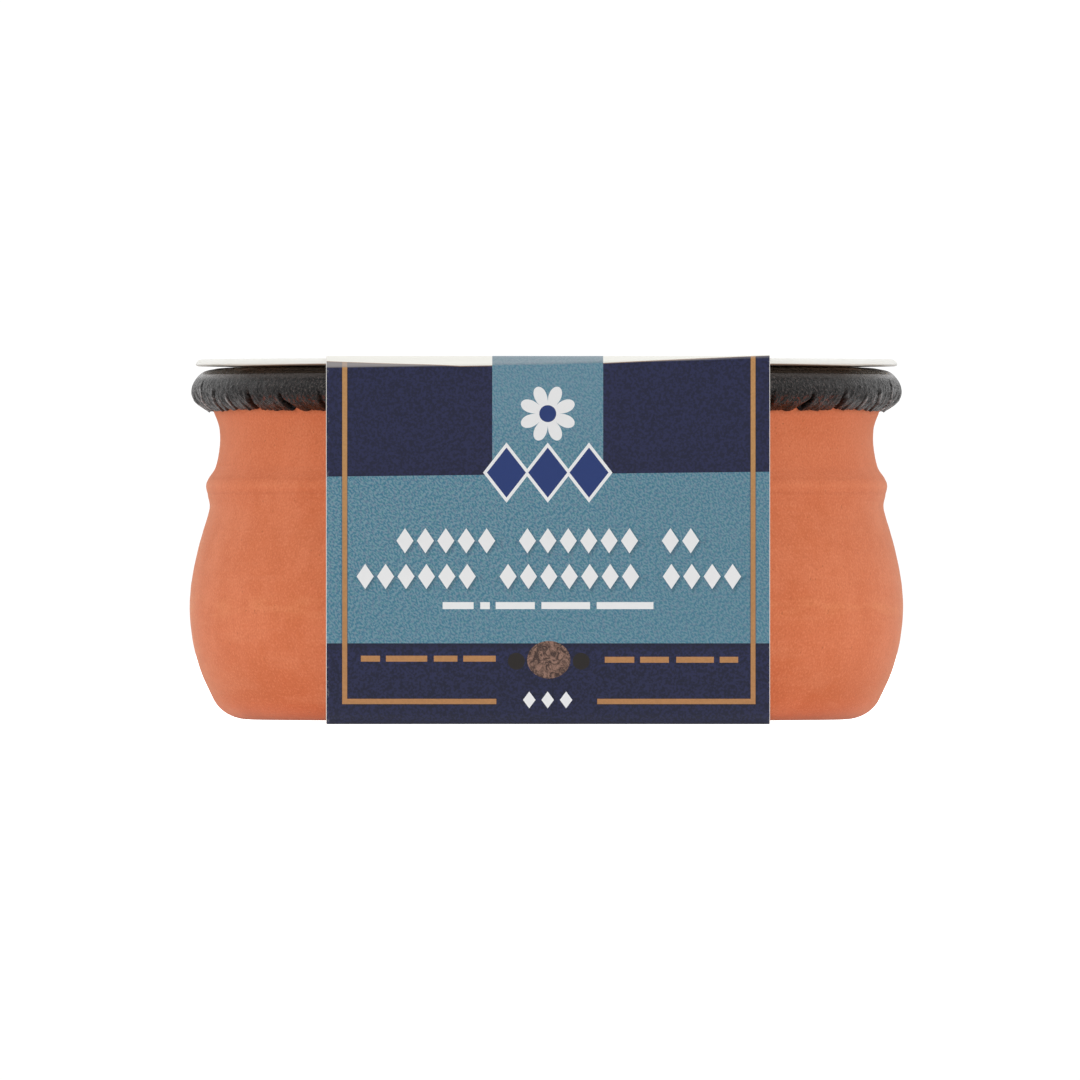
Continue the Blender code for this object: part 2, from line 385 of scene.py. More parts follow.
# Where the flat film ends, the hem's and the widest place's distances from the CAD's box, and the thickness
FLAT_RADIUS = 42.1 * MM
HEM_INSET = 2.36 * MM
WIDEST_ABOVE_HEM = 2.65 * MM
FILM_UNDERSIDE = 0.30 * MM

# Below the film's top, in mm, the flat band's lower edge, and the skirt's length from shoulder to hem
BAND_DROP = 0.91
SKIRT_LENGTH = 6.9

# A crease: degrees from the front at the film's widest, how many more at the hem and at the shoulder,
# depth in mm, where it starts between shoulder, 0, and hem, 1, in what share of that it sinks,
# and in mm how wide its floor is and how far its gentle side rises
Crease = namedtuple("Crease", "angle low high depth start onset floor rise")
SHOWN_CREASES = (
    Crease(44.6, -0.4, 0.4, 0.15, 0.45, 0.44, 0.10, 0.6),
    Crease(48.9, -1.0, -0.3, 2.00, 0.52, 0.14, 0.95, 0.18),
    Crease(50.8, 0.2, 0.5, 0.30, 0.55, 0.44, 0.10, 0.5),
    Crease(54.2, -0.3, 0.8, 0.16, 0.40, 0.44, 0.10, 0.6),
    Crease(57.4, 0.9, 0.9, 1.60, 0.40, 0.24, 0.72, 0.40),
    Crease(60.2, 0.6, 0.8, 0.36, 0.55, 0.40, 0.15, 0.5),
    Crease(64.0, 1.8, 0.4, 0.55, 0.46, 0.30, 0.20, 0.6),
    Crease(67.2, 3.0, 0.9, 0.30, 0.42, 0.40, 0.10, 0.4),
    Crease(69.7, 3.2, 0.3, 0.70, 0.30, 0.36, 0.25, 0.6),
    Crease(72.6, 2.6, 0.9, 0.24, 0.44, 0.40, 0.10, 0.5),
    Crease(76.2, 4.4, 0.8, 0.75, 0.16, 0.36, 0.25, 0.7),
)

# Creases past the shown ones are drawn from these spans; the first is the angle between two
CREASE_SEED = 11
DRAWN = Crease((3.6, 6.5), (-0.8, 1.4), (-0.3, 1.6), (0.45, 1.05), (0.2, 0.5), 0.44, (0.1, 0.4), (0.4, 1.5))

# Across a crease, in mm: how far it is felt, its steep wall, the lip beside it and the bright line there
CREASE_REACH = (-2.5, 2.0)
CREASE_WALL = 0.34
LIP_HEIGHT = 0.16
LIP_OFFSET = 0.52
LIP_WIDTH = 0.24
GLINT_OFFSET = 0.46
GLINT_WIDTH = 0.12

# Along a crease: share of its depth at the shoulder, share of its floor's width at its start,
# and the share of the skirt over which the floor widens
SHOULDER_DEPTH = 0.45
FLOOR_START = 0.2
FLOOR_WIDENING = 0.34

# Film sunk deeper than this, in mm, gets the near-black material of painted shade
SHADED_SINK = 0.85

# Small wrinkles: lean, width and height in mm, climb round the film, layer of the noise, depth in mm
Wrinkles = namedtuple("Wrinkles", "lean wide tall climb layer depth")
WRINKLES = (Wrinkles(0.0, 1.7, 3.4, 1.0 / 6.0, 0.0, 0.12),
            Wrinkles(0.5, 0.62, 1.9, 0.0, 5.0, 0.055),
            Wrinkles(-0.6, 0.42, 1.1, 0.0, 9.0, 0.045))
RIDGES = Wrinkles(0.25, 0.95, 4.5, 0.0, 13.0, 0.09)
RIDGE_SHARPNESS = 5.0

# The wrinkles' share at the shoulder, its growth to the hem, and the rows in which they start
WRINKLES_HIGH = 0.35
WRINKLES_GROWTH = 0.85
WRINKLES_ONSET = 1.5 * FILM_STEPS

# Hem: its lift where the film sinks by 1 mm, its waves (width in mm, layer of the noise, height),
# its rise between these degrees from the front, and how much flatter the film gets near it
HEM_LIFT = 0.40 * MM
HEM_WAVES = ((1.7, 21.0, 0.26 * MM), (0.55, 25.0, 0.10 * MM))
HEM_RISE = 0.13 * MM
HEM_RISE_STARTS = (52.0, 58.0)
HEM_RISE_ENDS = (68.0, 73.0)
HEM_FLATTENING = 0.55
HEM_START = 0.80

FILM_BLACK = (0.0020, 0.0016, 0.0016)
# Painted sheen of the film's strokes, darker in the middle and lighter towards and low on the sides, and the
# painted highlight of its crinkles
PAINTED_SHEEN_FRONT = (0.040, 0.031, 0.029)
PAINTED_SHEEN_MIDDLE = (0.031, 0.025, 0.024)
PAINTED_SHEEN_SIDE = (0.044, 0.042, 0.042)
PAINTED_SHEEN_LOW_SIDE = (0.120, 0.113, 0.112)
PAINTED_CRINKLE_HIGHLIGHT = (0.110, 0.100, 0.100)
# Painted highlight along the shoulder below the flat band
SHOULDER_HIGHLIGHT_FRONT = (0.096, 0.083, 0.077)
SHOULDER_HIGHLIGHT_SIDE = (0.30, 0.29, 0.29)
# Painted shade low on the front of the film, beside the sleeve
FRONT_HEM_SHADE = (0.006, 0.0025, 0.0010)
# Painted highlights along fine veins
VEIN_HIGHLIGHT_FRONT = (0.105, 0.096, 0.092)
VEIN_HIGHLIGHT_SIDE = (0.34, 0.33, 0.33)
# Painted shade in the slits of the creases
SLIT_SHADE = (0.002, 0.0015, 0.0015)
# Painted reflection of the clay in the film, as brown flecks
CLAY_REFLECTION = (0.095, 0.017, 0.006)
GLINT_FRONT = (0.070, 0.060, 0.057)
GLINT_SIDE = (0.88, 0.87, 0.87)
HEM_SHADE = (0.003, 0.002, 0.002)
# Painted shade beside a fold
SHADE_BESIDE_FOLD = (0.010, 0.003, 0.002)
# Painted shade of the lid on the flat band, with the lid's warm reflection in it
BAND_SHADE_FRONT = (0.068, 0.050, 0.038)
BAND_SHADE_MIDDLE = (0.045, 0.034, 0.027)
BAND_SHADE_SIDE = (0.060, 0.046, 0.038)
# Painted light on the film under the lid
UNDER_LID_LIGHT = (0.80, 0.58, 0.44)


def film_creases():
    """Creases over half a turn from the front."""
    draw = random.Random(CREASE_SEED)
    shapes = random.Random(CREASE_SEED + 1)
    creases = list(SHOWN_CREASES)

    def drawn(angle):
        depth = draw.uniform(*DRAWN.depth)
        return Crease(angle, shapes.uniform(*DRAWN.low), shapes.uniform(*DRAWN.high), depth,
                      shapes.uniform(*DRAWN.start), DRAWN.onset, shapes.uniform(*DRAWN.floor),
                      shapes.uniform(*DRAWN.rise))

    while creases[0].angle > -DRAWN.angle[1]:
        creases.insert(0, drawn(creases[0].angle - draw.uniform(*DRAWN.angle)))
    while creases[-1].angle < 180.0 + DRAWN.angle[1]:
        creases.append(drawn(creases[-1].angle + draw.uniform(*DRAWN.angle)))
    return creases


def crease_sink(creases, around, along, degree):
    """How far the film sinks at one point, in mm, and how much of a crease's bright line lies there.

    A crease has a steep wall and a lip on its outer side. degree is the length of one degree in mm.
    """
    sink = 0.0
    lip = 0.0
    glint = 0.0
    lower = 2.0 * along - 1.0
    for crease in creases:
        lean = crease.low * lower ** 1.5 if lower > 0.0 else crease.high * (-lower)
        offset = (around - crease.angle - lean) * degree
        if not CREASE_REACH[0] < offset < CREASE_REACH[1]:
            continue
        onset = smoothstep(crease.start, crease.start + crease.onset, along)
        onset *= SHOULDER_DEPTH + (1.0 - SHOULDER_DEPTH) * along
        if offset > 0.0:
            share = 1.0 - smoothstep(0.0, CREASE_WALL, offset)
        else:
            widened = smoothstep(crease.start, crease.start + FLOOR_WIDENING, along)
            floor = crease.floor * (FLOOR_START + (1.0 - FLOOR_START) * widened)
            share = 1.0 - smoothstep(floor, floor + crease.rise, -offset)
        sink = max(sink, crease.depth * share * onset)
        lip += LIP_HEIGHT * min(crease.depth, 1.0) * onset * bell(offset, LIP_OFFSET, LIP_WIDTH)
        glint = max(glint, onset * bell(offset, GLINT_OFFSET, GLINT_WIDTH))
    return sink - lip, glint


def wrinkle_noise(wrinkles, arc, drop):
    across = (arc + wrinkles.lean * drop) / wrinkles.wide
    return noise.noise((across, drop / wrinkles.tall + wrinkles.climb * arc, wrinkles.layer))


def film_ruffle(arc, drop, along):
    """How far wrinkles and sharp ridges raise the film at one point, in mm."""
    ruffle = sum(wrinkles.depth * wrinkle_noise(wrinkles, arc, drop) for wrinkles in WRINKLES)
    beside_ridge = RIDGE_SHARPNESS * abs(wrinkle_noise(RIDGES, arc, drop))
    ruffle += RIDGES.depth * max(0.0, 1.0 - beside_ridge) ** 2
    return ruffle * (WRINKLES_HIGH + WRINKLES_GROWTH * along)


def hem_lift(around, arc, sink, along):
    """How far the film is lifted near its hem, which is not quite level."""
    wave = sum(depth * noise.noise((arc / wide, 0.0, layer)) for wide, layer, depth in HEM_WAVES)
    raised = smoothstep(*HEM_RISE_STARTS, around) * (1.0 - smoothstep(*HEM_RISE_ENDS, around))
    return (HEM_LIFT * max(0.0, sink) + wave + HEM_RISE * raised) * along ** 3


def film_outside(radius, top, hem):
    """Outer line of the film over the shoulder and the bulge to the hem."""
    hem_radius = radius - HEM_INSET
    widest = hem + WIDEST_ABOVE_HEM
    section = [
        (hem_radius - 2.1 * MM, top - 0.08 * MM),
        (hem_radius - 0.9 * MM, top - 0.22 * MM),
        (radius - 1.52 * MM, top - 0.69 * MM),
        (radius - 0.40 * MM, widest + 1.45 * MM),
        (radius, widest),
        (radius - 0.68 * MM, widest - 1.5 * MM),
        (hem_radius, hem),
    ]
    flat = [(0.5 * FLAT_RADIUS, top), (FLAT_RADIUS, top)]
    return flat + curve_through(section, FILM_STEPS)


def film_inside(hem_radius, hem, top):
    """Inner line of the film, from the hem's cut edge up the wall to the flat underside."""
    return [
        (hem_radius - 0.10 * MM, hem - 0.02 * MM),
        (hem_radius - 0.16 * MM, hem + 0.10 * MM),
        (hem_radius + 0.2 * MM, hem + 0.9 * MM),
        (hem_radius + 0.9 * MM, hem + 3.0 * MM),
        (hem_radius - 1.5 * MM, top - FILM_UNDERSIDE),
        (0.0, top - FILM_UNDERSIDE),
    ]


def make_film():
    low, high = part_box("cover")
    outside = film_outside(high.x, high.z, low.z)
    line = [(0.0, high.z)] + outside + film_inside(outside[-1][0], low.z, high.z)
    last = len(outside)
    shoulder = last - 4 * FILM_STEPS
    creases = film_creases()
    degree = math.radians(high.x) / MM
    folds = []
    glints = []

    def place(row, angle):
        radius, height = line[row]
        if row <= shoulder - FILM_STEPS // 4 or row > last + 2:
            folds.append(0.0)
            glints.append(0.0)
            return radius, height
        around = abs(math.degrees(math.remainder(angle, 2.0 * math.pi)))
        arc = around * degree
        along = min(1.0, max(0.0, (row - shoulder) / (last - shoulder)))
        sink, glint = crease_sink(creases, around, along, degree)
        folds.append(sink)
        glints.append(glint)
        ruffle = film_ruffle(arc, along * SKIRT_LENGTH, along)
        ruffle *= smoothstep(shoulder, shoulder + WRINKLES_ONSET, row)
        relief = (ruffle - sink) * (1.0 - HEM_FLATTENING * smoothstep(HEM_START, 1.0, along))
        return radius + relief * MM, height + hem_lift(around, arc, sink, along)

    points, faces = turned_rings(len(line), FILM_COLUMNS, place)
    faces = [face[::-1] for face in faces]
    materials = [film_material(), shaded_film_material()]
    piece = mesh_piece("gathered_film", points, faces, materials, "cover", 75.0)
    for name, values in (("fold", folds), ("glint", glints)):
        piece.data.attributes.new(name, "FLOAT", "POINT").data.foreach_set("value", values)
    # The deepest creases get the near-black material of painted shade
    for polygon in piece.data.polygons:
        if min(folds[index] for index in polygon.vertices) > SHADED_SINK:
            polygon.material_index = 1
    return piece


class FilmNodes(Nodes):
    """Places on the film: round from the front, below the flat band, and on folds and bright lines."""

    def __init__(self, tree):
        super().__init__(tree)
        low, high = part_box("cover")
        self.hem = low.z / MM
        self.band = high.z / MM - BAND_DROP
        self.place = self.place_mm()
        axes = self.axes(self.place)
        self.z = axes["Z"]
        self.angle = self.turn(axes)
        arc = self.product(self.angle, high.x / MM)
        unrolled = self.vector(self.total(arc, self.product(self.z, 0.5)), self.z)
        self.leaning = self.vector(self.minus(arc, self.product(self.z, 0.3)),
                                   self.product(self.z, 0.45))
        self.strokes = self.noise(unrolled, 3.0, 2.0, 0.6, 0.4)
        self.crinkle = self.noise(self.leaning, 1.9, 3.0, 0.6, 0.6)
        self.fold = self.attribute("fold")
        self.glint = self.attribute("glint")
        self.open_film = self.ramp(self.fold, 0.20, 0.75, 1.0, 0.0)
        self.towards_side = self.turned(56.0, 71.0)

    def turned(self, start, end):
        """Share that grows from start to end, in degrees from the front."""
        return self.ramp(self.angle, math.radians(start), math.radians(end))

    def below_band(self, start, end):
        """Share that grows from start to end, in mm below the flat band's lower edge."""
        return self.ramp(self.z, self.band - start, self.band - end)


def film_ground(n):
    """Black film with painted sheen in its strokes and crinkles, a painted highlight below the flat band,
    and painted shade low on the front.
    """
    # Painted sheen: pale strokes and crinkles stand in for the film's reflections, lighter towards the sides
    low_side = n.product(n.below_band(2.2, 3.2), n.largest(n.below_band(4.3, 3.6), n.turned(70.0, 76.0)),
                         n.turned(58.0, 68.0), 0.15)
    painted_sheen = n.layers(PAINTED_SHEEN_FRONT, (n.turned(50.0, 55.0), PAINTED_SHEEN_MIDDLE), (n.towards_side, PAINTED_SHEEN_SIDE),
                    (low_side, PAINTED_SHEEN_LOW_SIDE))
    stroked = n.product(n.ramp(n.strokes, 0.46, 0.64), n.open_film)
    crinkled = n.product(n.ramp(n.crinkle, 0.56, 0.70), n.open_film,
                         n.blend_number(n.towards_side, 0.5, 0.8))
    colour = n.layers(FILM_BLACK, (stroked, painted_sheen), (crinkled, n.blend(0.3, painted_sheen, PAINTED_CRINKLE_HIGHLIGHT)))
    colour = n.shaded(colour, n.ramp(n.noise(n.place, 4.0, 1.0), 0.38, 0.62, 0.15, 1.95))
    # Painted highlight along the shoulder below the flat band, and painted shade low on the front beside the
    # sleeve
    edge = n.blend(n.turned(54.0, 80.0), SHOULDER_HIGHLIGHT_FRONT, SHOULDER_HIGHLIGHT_SIDE)
    return n.layers(colour, (n.product(n.below_band(0.95, 0.02), 0.95), edge),
                    (n.product(n.below_band(2.6, 3.6), n.turned(49.0, 45.0)), FRONT_HEM_SHADE))


def film_details(n, colour):
    """Painted highlights on veins, painted shade in slits, painted clay reflections as brown flecks, painted
    glints along the creases, and painted shade at the hem and beside a fold.
    """
    # Painted highlights along fine veins
    vein_lines = n.ramp(n.gap(n.noise(n.leaning, 1.1, 2.0, 0.6), 0.5), 0.0, 0.030, 1.0, 0.0)
    vein_highlights = n.product(vein_lines, n.open_film, n.below_band(0.8, 1.8),
                      n.blend_number(n.towards_side, 0.32, 0.36))
    unfolded = n.ramp(n.fold, 0.02, 0.20, 1.0, 0.0)
    # Painted reflection of the clay, as brown flecks low on the front
    clay_reflection = n.product(n.ramp(n.noise(n.place, 2.4, 0.0), 0.57, 0.60), n.below_band(2.8, 3.5),
                     n.turned(59.0, 54.0), unfolded, 0.95)
    broken = n.ramp(n.noise(n.place, 1.3, 1.0), 0.38, 0.58, 0.15, 0.85)
    bright = n.blend(n.turned(53.0, 68.0), GLINT_FRONT, GLINT_SIDE)
    shade_end = n.total(n.turned(66.0, 70.0), n.hem + 1.6)
    hem_shade = n.product(n.ramp(n.z, n.hem + 0.1, shade_end, 0.85, 0.0), n.turned(80.0, 74.0))
    return n.layers(
        colour,
        (vein_highlights, n.blend(n.towards_side, VEIN_HIGHLIGHT_FRONT, VEIN_HIGHLIGHT_SIDE)),
        # Painted shade in the slits of the creases
        (n.product(n.ramp(n.fold, 0.12, 0.34), n.turned(58.0, 62.0), 0.95), SLIT_SHADE),
        (clay_reflection, CLAY_REFLECTION),
        (n.product(n.glint, n.turned(45.0, 52.0), broken), bright),
        (hem_shade, HEM_SHADE),
        # Painted shade beside a fold
        (n.product(n.below_band(3.0, 3.8), n.turned(53.0, 54.5), n.turned(59.5, 58.0), 0.8), SHADE_BESIDE_FOLD))


def flat_band(n):
    """The flat band of film between the lid and the skirt, in painted shade of the lid with the lid's warm
    reflection, and with painted light under the lid.
    """
    # Painted light on the film under the lid
    under_lid_light = n.product(n.ramp(n.z, n.band + 0.33, n.band + 0.68), n.turned(78.0, 60.0))
    return n.layers(BAND_SHADE_FRONT, (n.turned(57.0, 62.0), BAND_SHADE_MIDDLE), (n.turned(68.0, 76.0), BAND_SHADE_SIDE),
                    (under_lid_light, UNDER_LID_LIGHT))


def film_material():
    material, n = new_material("black_film", FilmNodes)
    lowered = n.total(n.z, n.product(n.turned(52.0, 62.0), 0.06))
    skirt = n.largest(n.ramp(lowered, n.band + 0.04, n.band - 0.05), n.turned(74.0, 86.0))
    relief = n.total(n.product(n.strokes, 0.9), n.crinkle)
    n.finish({"Base Color": n.blend(skirt, flat_band(n), film_details(n, film_ground(n))),
              "Roughness": n.ramp(n.noise(n.place, 0.9), 0.3, 0.7, 0.20, 0.30),
              "Normal": n.bump(n.product(relief, skirt), 0.20 * MM),
              "Specular IOR Level": 0.20})
    return material


# Painted shade: a near-black material for the film in the deepest creases
def shaded_film_material():
    material, n = new_material("film_in_shade")
    n.finish({"Base Color": (0.0015, 0.0012, 0.0012, 1.0), "Roughness": 0.7, "Specular IOR Level": 0.06})
    return material


# Lid

# How much lower than the CAD lid's the underside and the top lie, and how much thinner the two sides are
LID_SAG = 0.08 * MM
LID_SETTLE = 0.06 * MM
LID_THINNING = 0.12 * MM

# Where the lid grows thinner: sines of the angle from the front, and share of the radius
THIN_SIDES = (0.86, 0.94)
THIN_FROM = 0.8

# The raised rim round the sunk middle
RIM_WIDTH = 5.0 * MM
RIM_SLOPE = 0.3 * MM
RIM_HEIGHT = 0.10 * MM

# The flat underside ends this far inside the lid's radius
LID_UNDERSIDE_INSET = 0.50 * MM

# The lid's edge from the underside up: mm inside its radius, share of its thickness, and mm above that
LID_EDGE = ((0.32, 0.0, 0.01), (0.12, 0.0, 0.10), (0.0, 0.0, 0.34), (0.06, 0.50, 0.0), (0.18, 0.70, 0.0),
            (0.40, 1.0, -0.13), (0.70, 1.0, -0.02), (1.0, 1.0, 0.0))

PLASTIC_LIGHT = (0.85, 0.84, 0.80)
PLASTIC_DARK = (0.82, 0.81, 0.765)
PLASTIC_MIDDLE = (0.70, 0.69, 0.65)
# Painted warm shade low on the lid's edge, painted brown shade and a painted dark shade line under it
LID_EDGE_SHADE = (0.60, 0.50, 0.38)
LID_BROWN_SHADE = (0.16, 0.085, 0.045)
LID_SHADE_LINE = (0.030, 0.020, 0.014)


def make_lid():
    low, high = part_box("lid")
    base = low.z - LID_SAG
    top = high.z - LID_SETTLE
    thick = top - base
    edge = [(high.x - inset * MM, base + share * thick + above * MM) for inset, share, above in LID_EDGE]
    line = [(0.0, base), (0.5 * high.x, base), (high.x - LID_UNDERSIDE_INSET, base)]
    line += curve_through(edge, LID_STEPS)
    line += [(high.x - RIM_WIDTH, top), (high.x - RIM_WIDTH - RIM_SLOPE, top - RIM_HEIGHT),
             (0.5 * high.x, top - RIM_HEIGHT), (0.0, top - RIM_HEIGHT)]

    def place(row, angle):
        radius, height = line[row]
        share = smoothstep(*THIN_SIDES, abs(math.sin(angle)))
        share *= smoothstep(THIN_FROM * high.x, high.x, radius)
        share *= 1.0 - smoothstep(base, base + 0.5 * thick, height)
        return radius, height + LID_THINNING * share

    points, faces = turned_rings(len(line), LID_COLUMNS, place)
    return mesh_piece("flat_lid", points, faces, [lid_material()], "lid")


def lid_colour(n, place):
    """Pale plastic, duller in its sunk middle, with painted warm shade low on its edge and painted brown
    shade and a painted dark shade line under it.
    """
    axes = n.axes(place)
    base = (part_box("lid")[0].z - LID_SAG) / MM
    reach = n.length(n.vector(axes["X"], axes["Y"]))
    depth = n.math("ABSOLUTE", axes["Y"])
    # Painted warm shade low on the edge, and painted brown shade and a painted dark shade line under the lid
    low_edge_shade = n.product(n.ramp(n.minus(axes["Z"], base), 0.14, 0.44, 0.75, 0.0),
                         n.ramp(depth, 8.0, 24.0, 0.35, 0.85))
    above_shade_line = n.minus(axes["Z"], n.total(n.ramp(depth, 18.0, 40.0, 0.0, 0.25), base - 0.06))
    return n.layers(
        PLASTIC_LIGHT,
        (n.ramp(n.noise(place, 0.12), 0.3, 0.7), PLASTIC_DARK),
        (n.ramp(reach, 42.0, 44.0, 0.75, 0.0), PLASTIC_MIDDLE),
        (low_edge_shade, LID_EDGE_SHADE),
        (n.ramp(above_shade_line, 0.04, 0.18, 1.0, 0.0), LID_BROWN_SHADE),
        (n.ramp(above_shade_line, -0.10, -0.02, 1.0, 0.0), LID_SHADE_LINE))


def lid_material():
    material, n = new_material("pale_plastic")
    place = n.place_mm()
    n.finish({"Base Color": lid_colour(n, place),
              "Roughness": n.ramp(n.noise(place, 1.6, 3.0), 0.3, 0.7, 0.34, 0.46),
              "Normal": n.bump(n.noise(place, 3.0), 0.006 * MM),
              "Subsurface Weight": 0.15,
              "Subsurface Radius": (1.0, 0.95, 0.85),
              "Subsurface Scale": 0.5 * MM})
    return material


# Sleeve: a loop of board, printed outside

# The board's thickness, how far right of the middle it sits, and how far it is let down on the lid
BOARD = 0.20 * MM
SLEEVE_SHIFT = 0.20 * MM
SLEEVE_SETTLE = 0.20 * MM

# Radii of the folds, the top fold's drop below the top, and the slope from there up to the top
LOW_FOLD = 1.3 * MM
TOP_FOLD = 0.5 * MM
TOP_FOLD_DROP = 1.15 * MM
TOP_SLOPE = 25.0
SLOPE_END = 4.0 * MM

# The front's top fold is not level: its tilt right and left of the middle, how many mm lower it lies
# there, and how far below it the board follows
TILT_RIGHT = 0.029
TILT_LEFT = 0.0145
FOLD_LOWER = 0.15
FOLD_FOLLOWED = 2.8 * MM

# Cut edge: its bevel, and the share of that where the cut is square
CUT_BEVEL = 0.07 * MM
CUT_SQUARE = 0.3

# Rows along the strip: degrees on a fold, length on a panel
FOLD_STEP = 7.5
ROW_LENGTH = 1.0 * MM

# The panels' slight waves: width, length in mm and depth
WAVE_WIDTH = 26.0 * MM
WAVE_LENGTH = 30.0
WAVE_DEPTH = 0.04 * MM

# Rows past this share of the run are the last ones before the loop closes
LOOP_CLOSES = 0.9

BOARD_DARK = (0.80, 0.77, 0.73)
BOARD_LIGHT = (0.92, 0.90, 0.86)


def fold_rise(x):
    """How much higher than the CAD's the front's top fold lies at x mm, in mm."""
    return (TILT_RIGHT if x > 0.0 else TILT_LEFT) * x - FOLD_LOWER


def sleeve_box():
    """The CAD sleeve's corners, with the top panel let down on the lid by what the thinner board saves."""
    low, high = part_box("sleeve")
    return low, high - Vector((0.0, 0.0, SLEEVE_SETTLE))


def loop_path(high):
    """Points (y, z), outward directions and run in mm of the strip's outer face, once round the loop.

    The run equals the height on the front panel, and goes on over the top, the back and the underside.
    """
    reach = high.y - LOW_FOLD
    tight = high.y - TOP_FOLD
    slope = math.radians(TOP_SLOPE)
    rise = TOP_FOLD_DROP - TOP_FOLD * math.cos(slope)
    end = tight + TOP_FOLD * math.sin(slope) - rise / math.tan(slope) - SLOPE_END * math.tan(0.5 * slope)
    arcs = [(-reach, LOW_FOLD, LOW_FOLD, 270.0, 180.0),
            (-tight, high.z - TOP_FOLD_DROP, TOP_FOLD, 180.0, 90.0 + TOP_SLOPE),
            (-end, high.z - SLOPE_END, SLOPE_END, 90.0 + TOP_SLOPE, 90.0)]
    arcs += [(-y, z, radius, 180.0 - stop, 180.0 - start) for y, z, radius, start, stop in reversed(arcs)]
    path = []
    for y, z, radius, start, stop in arcs:
        count = max(4, round(abs(stop - start) / FOLD_STEP))
        for step in range(count + 1):
            turn = math.radians(start + (stop - start) * step / count)
            out = (math.cos(turn), math.sin(turn))
            path.append((y + radius * out[0], z + radius * out[1], *out))
    dense = []
    run = (1.0 - 0.5 * math.pi) * LOW_FOLD / MM
    for here, there in zip(path, path[1:] + path[:1]):
        length = math.dist(here[:2], there[:2])
        count = max(1, round(length / ROW_LENGTH))
        for step in range(count):
            share = step / count
            mixed = [a + (b - a) * share for a, b in zip(here, there)]
            dense.append((*mixed, run + length / MM * share))
        run += length / MM
    return dense, run


def middle_run(high):
    """The run at the middle of the top panel."""
    path, _ = loop_path(high)
    return next(run - y / MM for y, z, _, _, run in path if z > 0.9 * high.z and y > 0.0)


def fold_share(y, z, high):
    """How far a point follows the front's top fold up or down: all of it at the fold, less away from it."""
    if y > 0.0:
        return 0.0
    fold_height = high.z - TOP_FOLD_DROP
    if z < fold_height:
        return smoothstep(fold_height - FOLD_FOLLOWED, fold_height, z)
    edge = high.y - TOP_FOLD
    reach = (TOP_FOLD_DROP - TOP_FOLD) / math.tan(math.radians(TOP_SLOPE))
    return 1.0 - min(1.0, max(0.0, (edge + y) / reach))


def board_section(half):
    """Points (x, level) once round a cut through the strip, and which of the lines between them are printed.

    It starts at the left edge and runs over the printed face, whose level is 0, and back on the inside.
    """
    cut = [(0.0, -0.5 * BOARD), (CUT_SQUARE * CUT_BEVEL, -0.5 * BOARD), (CUT_BEVEL, 0.0)]
    left = [(-half + inset, level) for inset, level in cut]
    right = [(half - inset, level) for inset, level in reversed(cut)]
    face_left = CUT_BEVEL - half
    face = [(face_left - 2.0 * face_left * step / SLEEVE_COLUMNS, 0.0) for step in range(1, SLEEVE_COLUMNS)]
    inside = [(half - 2.0 * half * step / SLEEVE_COLUMNS, -BOARD) for step in range(SLEEVE_COLUMNS + 1)]
    return left + face + right + inside, range(len(left) - 1, len(left) + len(face))


def make_sleeve():
    low, high = sleeve_box()
    path, run_end = loop_path(high)
    section, printed = board_section(high.x)
    size = len(section)
    points = []
    runs = []
    for y, z, out_y, out_z, run in path:
        follow = fold_share(y, z, high)
        for x, level in section:
            wave = noise.noise((x / WAVE_WIDTH, run / WAVE_LENGTH, 2.0)) * WAVE_DEPTH
            offset = level - abs(wave * math.cos(0.5 * math.pi * x / high.x))
            lift = follow * fold_rise(x / MM) * MM
            points.append((x + SLEEVE_SHIFT, y + out_y * offset, z + out_z * offset + lift))
            runs.append(run)
    faces = []
    for row in range(len(path)):
        here = row * size
        there = (row + 1) % len(path) * size
        for column in range(size):
            following = (column + 1) % size
            faces.append((here + column, there + column, there + following, here + following))
    piece = mesh_piece("board_sleeve", points, faces, [print_material(), board_material()],
                       "sleeve", 50.0)
    strip = []
    for polygon in piece.data.polygons:
        polygon.material_index = 0 if polygon.index % size in printed else 1
        corner_runs = [runs[index] for index in polygon.vertices]
        closes_loop = max(corner_runs) > LOOP_CLOSES * run_end
        for value in corner_runs:
            strip.append(run_end if closes_loop and value < 0.0 else value)
    piece.data.attributes.new("strip", "FLOAT", "CORNER").data.foreach_set("value", strip)
    return piece


def board_material():
    material, n = new_material("plain_board")
    fibres = n.noise(n.stretched(n.place_mm(), (1.0, 0.35, 0.35)), 3.5, 4.0, 0.7)
    n.finish({"Base Color": n.blend(n.ramp(fibres, 0.3, 0.7), BOARD_DARK, BOARD_LIGHT),
              "Roughness": 0.85,
              "Normal": n.bump(fibres, 0.03 * MM)})
    return material


# Print on the sleeve: places are in mm, x from the print's own middle and heights along the strip

# How far right of the pot's middle and how much higher than the strip's run the print is read
PRINT_SHIFT = 0.30 * MM
PRINT_LIFT = 0.05
PRINT_ROUGHNESS = (0.36, 0.46)

# Navy lit high up and in painted shade low down
NAVY_LIT_HIGH = (0.0215, 0.0270, 0.1020)
NAVY_SHADED_LOW = (0.0115, 0.0139, 0.0480)
NAVY_SHADE = (0.006, 0.007, 0.020)
TEAL = (0.048, 0.184, 0.278)
TEAL_LIGHT = (0.178, 0.318, 0.388)
TEAL_VIOLET = (0.200, 0.225, 0.310)
TEAL_GREEN = (0.090, 0.270, 0.260)
TEAL_RIGHT = (0.10, 0.215, 0.28)
TEAL_TOP = (0.170, 0.310, 0.400)
TEAL_FOOT = (0.060, 0.180, 0.250)
# Gold lit high up and in painted shade low down
GOLD_LIT_HIGH = (0.510, 0.262, 0.097)
GOLD_SHADED_LOW = (0.450, 0.215, 0.082)
GOLD_RIM = (0.012, 0.010, 0.014)
